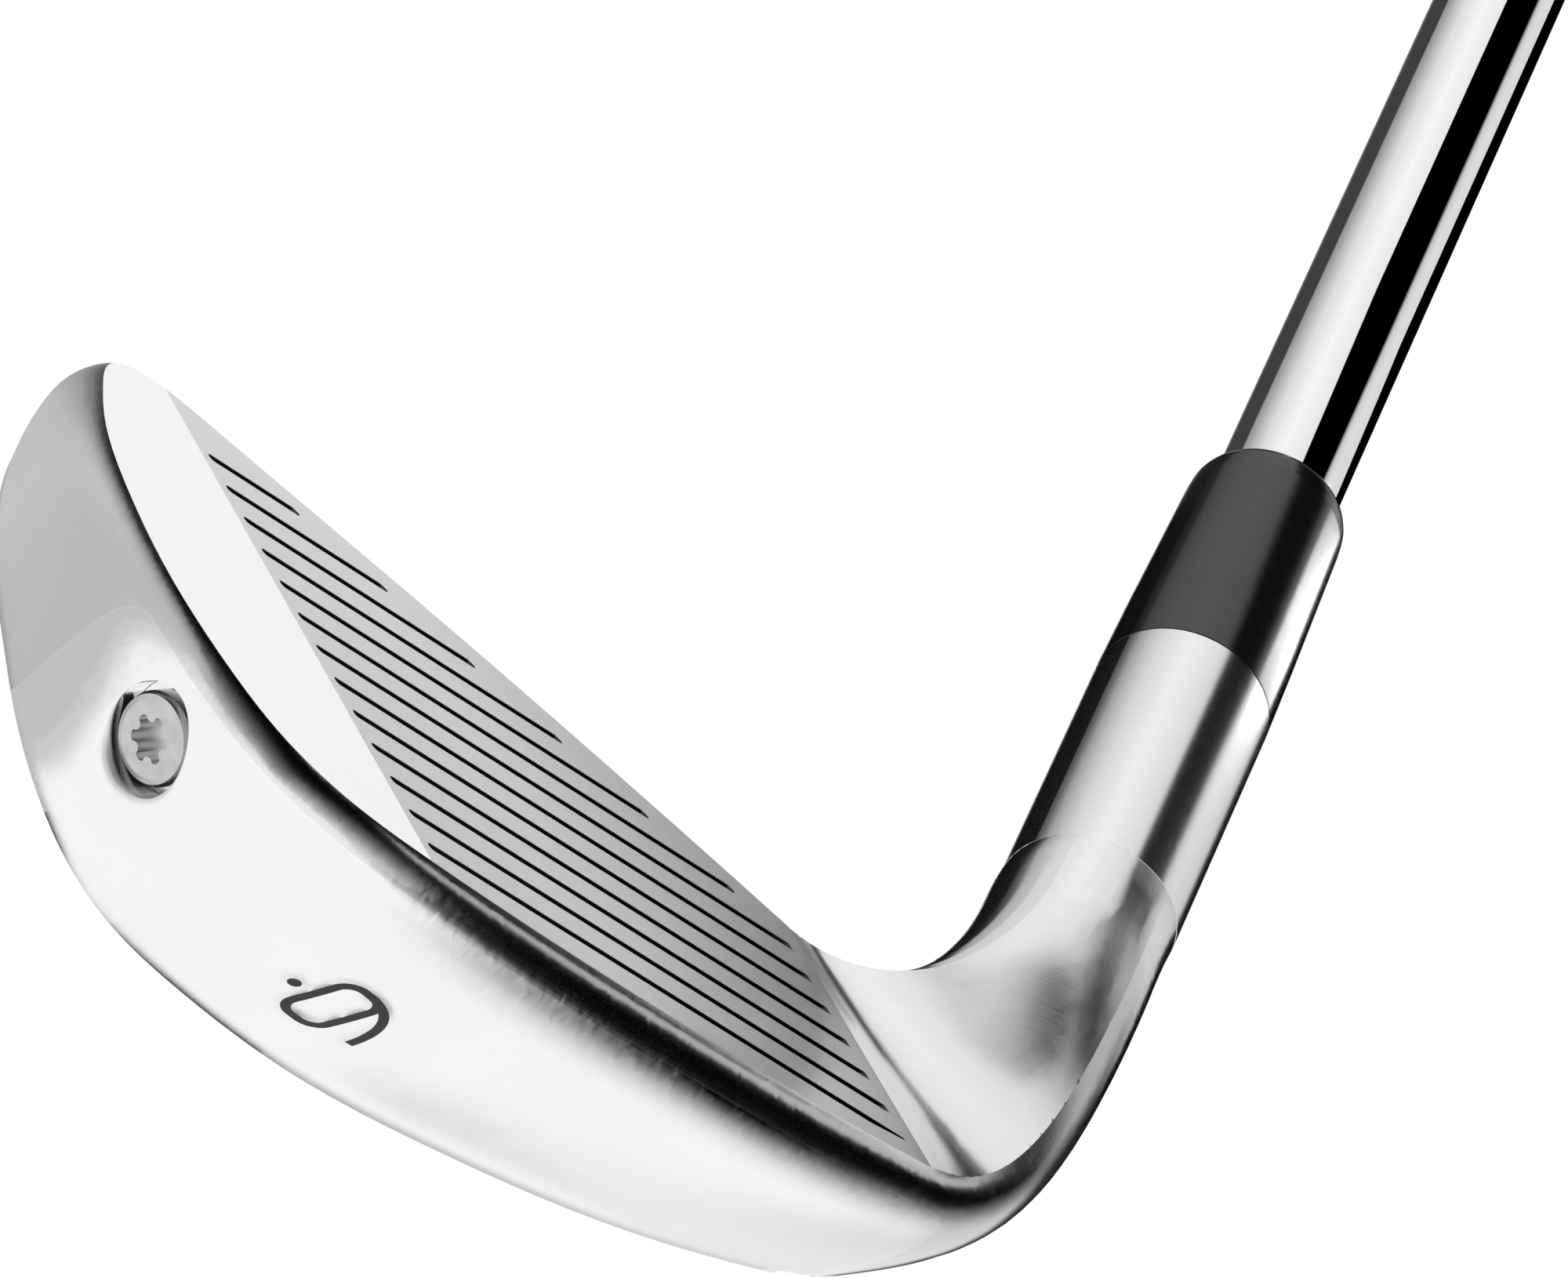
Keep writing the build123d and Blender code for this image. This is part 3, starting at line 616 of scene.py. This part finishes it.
# Brightness against degrees round the shaft axis, in three belts of the studio.
UNDER = (
    (-180, 0.02), (-138, 0.02), (-132, 0.50), (-120, 0.60), (-90, 0.58), (-60, 0.62), (-40, 0.84),
    (-20, 0.92), (0, 0.80), (15, 0.0), (98, 0.0), (120, 0.30), (135, 0.62), (165, 0.85), (180, 0.4),
)
MIDDLE = (
    (-180, 0.02), (-105, 0.02), (-90, 0.30), (-75, 0.46), (-60, 0.62), (-45, 0.80), (-30, 0.92),
    (0, 0.85), (12, 0.60), (30, 0.20), (45, 0.22), (60, 0.42), (80, 0.50), (100, 0.45),
    (112, 0.20), (125, 0.02), (180, 0.0),
)
HIGH = (
    (-180, 0.30), (-165, 0.15), (-150, 0.05), (-99, 0.05), (-97, 0.32), (-80, 0.52), (-60, 0.75),
    (-21, 0.96), (8, 0.86), (29, 0.78), (31, 0.0), (71, 0.0), (78, 0.62), (90, 0.74),
    (118, 0.70), (132, 0.60), (134, 0.0), (180, 0.0),
)
# Brightness of the toe's shell against its rise along the shaft axis.
SHELL = ((0.2, 0.54), (0.5, 0.60), (0.7, 0.54), (0.8, 0.38), (0.88, 0.17), (0.94, 0.05), (1.0, 0.012))


def ramp(value, low, high):
    t = np.clip((value - low) / (high - low), 0.0, 1.0)
    return t * t * (3 - 2 * t)


def read(table, at):
    return np.interp(at, *zip(*table))


def light(phi, level):
    """Brightness of the studio in a direction phi degrees round the shaft axis and level up along it."""
    under, middle, high = read(UNDER, phi), read(MIDDLE, phi), read(HIGH, phi)
    # open below, with a flag on the camera's side whose lower border is soft
    flag = ramp(phi, -60, 10) * (1 - ramp(phi, 95, 150))
    edge = 0.06 - 0.22 * ramp(phi, 70, 110)
    soft = OPEN * (1 - ramp(level, edge - 0.55, edge))
    lowest = OPEN + (under - OPEN) * ramp(level, -0.50, -0.10)
    value = OPEN + (np.minimum(soft, lowest) - OPEN) * flag
    value = value + (under - value) * ramp(level, -0.05, 0.12) * (1 - flag)
    # the two upper belts, which begin higher on the right
    right = 0.12 * ramp(phi, 10, 40)
    value = value + (middle - value) * ramp(level, 0.36 + right, 0.42 + 1.3 * right)
    value = value + (high - value) * ramp(level, 0.56 + right, 0.64 + 0.8 * right)
    # a dark flag on the right of the pole and a soft box behind it
    value = value + (0.11 - value) * ramp(level, 0.90, 0.97) * ramp(phi, 55, 85) * (phi < 140)
    rear = np.maximum(phi > 140, ramp(-phi, 145, 165))
    return value + (SOFT_BOX - value) * ramp(level, 0.87, 0.92) * rear


def outward(a):
    """Direction square to the shaft axis, at an angle round it."""
    return math.cos(a) * TOWARD + math.sin(a) * BESIDE


def glow_material():
    mat = bpy.data.materials.new("studio_lamp")
    mat.use_nodes = True
    tree = mat.node_tree
    tree.nodes.clear()
    out = tree.nodes.new("ShaderNodeOutputMaterial")
    glow = tree.nodes.new("ShaderNodeEmission")
    attr = tree.nodes.new("ShaderNodeAttribute")
    attr.attribute_name = "lamp"
    tree.links.new(attr.outputs["Fac"], glow.inputs["Strength"])
    tree.links.new(glow.outputs[0], out.inputs[0])
    mat.cycles.emission_sampling = "NONE"
    return mat


def lamp(name, points, faces, levels):
    """Glowing or black mesh with a brightness for each face, which the camera doesn't see."""
    mesh = bpy.data.meshes.new(name)
    mesh.from_pydata((np.asarray(points) / MM_PER_M).tolist(), [], faces)
    tint = mesh.attributes.new("lamp", "FLOAT", "FACE")
    tint.data.foreach_set("value", np.asarray(levels, np.float32))
    mesh.materials.append(LAMP)
    obj = bpy.data.objects.new(name, mesh)
    obj.visible_camera = False
    bpy.context.scene.collection.objects.link(obj)


def flag(name, phi, corners):
    """Flat black flag square to a direction phi degrees round the shaft axis.

    Each corner is a distance along the axis and one across it.
    """
    a = math.radians(phi)
    across = -math.sin(a) * TOWARD + math.cos(a) * BESIDE
    middle = AXIS + outward(a) * NEAR
    points = [middle + along * SHAFT + side * across for along, side in corners]
    lamp(name, points, [list(range(len(points)))], [0.0])


def curved(name, round_axis, along_axis, level):
    """Strip bent round the shaft axis, between two angles in degrees and two distances along it."""
    steps = 12
    points = []
    for a in np.radians(np.linspace(*round_axis, steps + 1)):
        points += [AXIS + SHAFT * t + outward(a) * NEAR for t in along_axis]
    faces = [[2 * k, 2 * k + 1, 2 * k + 3, 2 * k + 2] for k in range(steps)]
    lamp(name, points, faces, [level] * steps)


def toe_shell():
    """Part of a ball round the toe, grey behind it and black above and to the front."""
    centre = np.array([38.0, -4.0, 40.0])
    phis, rises = np.linspace(-180.0, -30.0, 51), np.linspace(-0.1, 0.99, 40)
    row = len(phis)
    points = []
    for rise in rises:
        for a in np.radians(phis):
            points.append(centre + NEAR * (rise * SHAFT + math.sqrt(1 - rise * rise) * outward(a)))
    faces, levels = [], []
    for j in range(len(rises) - 1):
        for i in range(row - 1):
            rise, phi = (rises[j] + rises[j + 1]) / 2, (phis[i] + phis[i + 1]) / 2
            if phi < -165 and rise > 0.9:
                continue
            k = j * row + i
            faces.append([k, k + 1, k + 1 + row, k + row])
            turn = -85.0 + (0.9 - rise) * 75.0
            levels.append(read(SHELL, rise) * (1 - 0.97 * ramp(phi, turn - 28.0, turn + 28.0)))
    lamp("shell_toe", points, faces, levels)


def toe_flag():
    """Black flag in front of the toe that lets light through more and more to one side and below."""
    origin = np.array([13.2, 59.6, 48.7])
    first = np.array([-0.942, -0.335, 0.0])
    second = np.array([0.171, -0.481, 0.860])
    points, faces, levels = [], [], []
    size = 6.0
    half = size / 2
    for i in range(44):
        for j in range(70):
            u, v = 22.0 - size * (i + 0.5), -126.0 + size * (j + 0.5)
            if v > 0 and u > -8:
                continue
            side = 0.48 * ramp(-u, 40.0, 250.0)
            below = 0.70 * ramp(-v, 25.0, 135.0)
            k = len(points)
            for du, dv in ((-half, -half), (half, -half), (half, half), (-half, half)):
                points.append(origin + (u + du) * first + (v + dv) * second)
            faces.append([k, k + 1, k + 2, k + 3])
            levels.append(max(side, below))
    lamp("flag_toe", points, faces, levels)


def dome():
    """Big lamp shell round the club, which lights it and shows in its reflections."""
    rings, turns, radius = 240, 720, 1300.0
    centre = np.array([-10.0, 0.0, 40.0])
    theta = np.linspace(0.0, math.pi, rings + 1)
    phi = np.linspace(-math.pi, math.pi, turns, endpoint=False)
    ct, st = np.cos(theta)[:, None, None], np.sin(theta)[:, None, None]
    ring = np.cos(phi)[None, :, None] * TOWARD + np.sin(phi)[None, :, None] * BESIDE
    points = centre + radius * (ct * SHAFT + st * ring)
    idx = np.arange((rings + 1) * turns).reshape(rings + 1, turns)
    right = np.roll(idx, -1, axis=1)
    quads = np.stack([idx[:-1], idx[1:], right[1:], right[:-1]], -1).reshape(-1, 4)
    mid_level = np.cos((theta[:-1] + theta[1:]) / 2)
    mid_phi = np.degrees(phi + math.pi / turns)
    value = light(mid_phi[None, :].repeat(rings, 0), mid_level[:, None].repeat(turns, 1))
    # a round soft box straight behind the club, as the photograph's camera sees it
    middle = (points[:-1] + points[1:]) / 2 - centre
    facing = -(middle @ BACK) / np.linalg.norm(middle, axis=2)
    value = value + (SOFT_BOX - value) * ramp(facing, math.cos(math.radians(9)), math.cos(math.radians(6)))
    lamp("studio_dome", points.reshape(-1, 3), quads.tolist(), value.ravel())


def floor():
    """Pale floor, left out of reflections so that they show the dome."""
    mesh = bpy.data.meshes.new("floor")
    corners = [(-1, -1), (1, -1), (1, 1), (-1, 1)]
    mesh.from_pydata([(FLOOR_HALF * x, FLOOR_HALF * y, FLOOR_Z) for x, y in corners], [], [(0, 1, 2, 3)])
    n = Nodes("pale_floor")
    cloud = n.noise(n.pos, 3.0, 3.0, 0.5)
    n.set(Base_Color=n.colour(cloud, (0.86, 0.86, 0.86), (0.90, 0.90, 0.90)), Roughness=0.8)
    mesh.materials.append(n.mat)
    obj = bpy.data.objects.new("floor", mesh)
    obj.visible_glossy = False
    bpy.context.scene.collection.objects.link(obj)


LAMP = glow_material()
dome()
floor()
flag("flag_left", 42, [(158, -20), (236, -48), (310, -48), (310, 5), (158, 5)])
flag("flag_right", 140, [(155, -10), (182, -17), (237, -50), (300, -50), (300, 40), (155, 40)])
curved("strip_ferrule", (81.0, 128.0), (168.0, 193.0), 7.0)
curved("flag_hosel", (-163.0, -103.0), (60.0, 192.0), 0.006)
toe_shell()
toe_flag()

world = bpy.data.worlds.new("white_backdrop")
bpy.context.scene.world = world
world.use_nodes = True
world.node_tree.nodes["Background"].inputs[0].default_value = (1, 1, 1, 1)
world.node_tree.nodes["Background"].inputs[1].default_value = 1.0

camera = bpy.data.cameras.new("camera")
camera.lens = SENSOR * FOCAL / PHOTO_WIDTH
camera.sensor_width = SENSOR
camera.clip_start, camera.clip_end = 0.05, 40.0
view = bpy.data.objects.new("camera", camera)
axes = np.stack([RIGHT, TOP, BACK], 1)
view.matrix_world = Matrix([[*row, e / MM_PER_M] for row, e in zip(axes, EYE)] + [[0, 0, 0, 1]])
bpy.context.scene.collection.objects.link(view)
bpy.context.scene.camera = view
bpy.context.scene.view_settings.view_transform = "Standard"
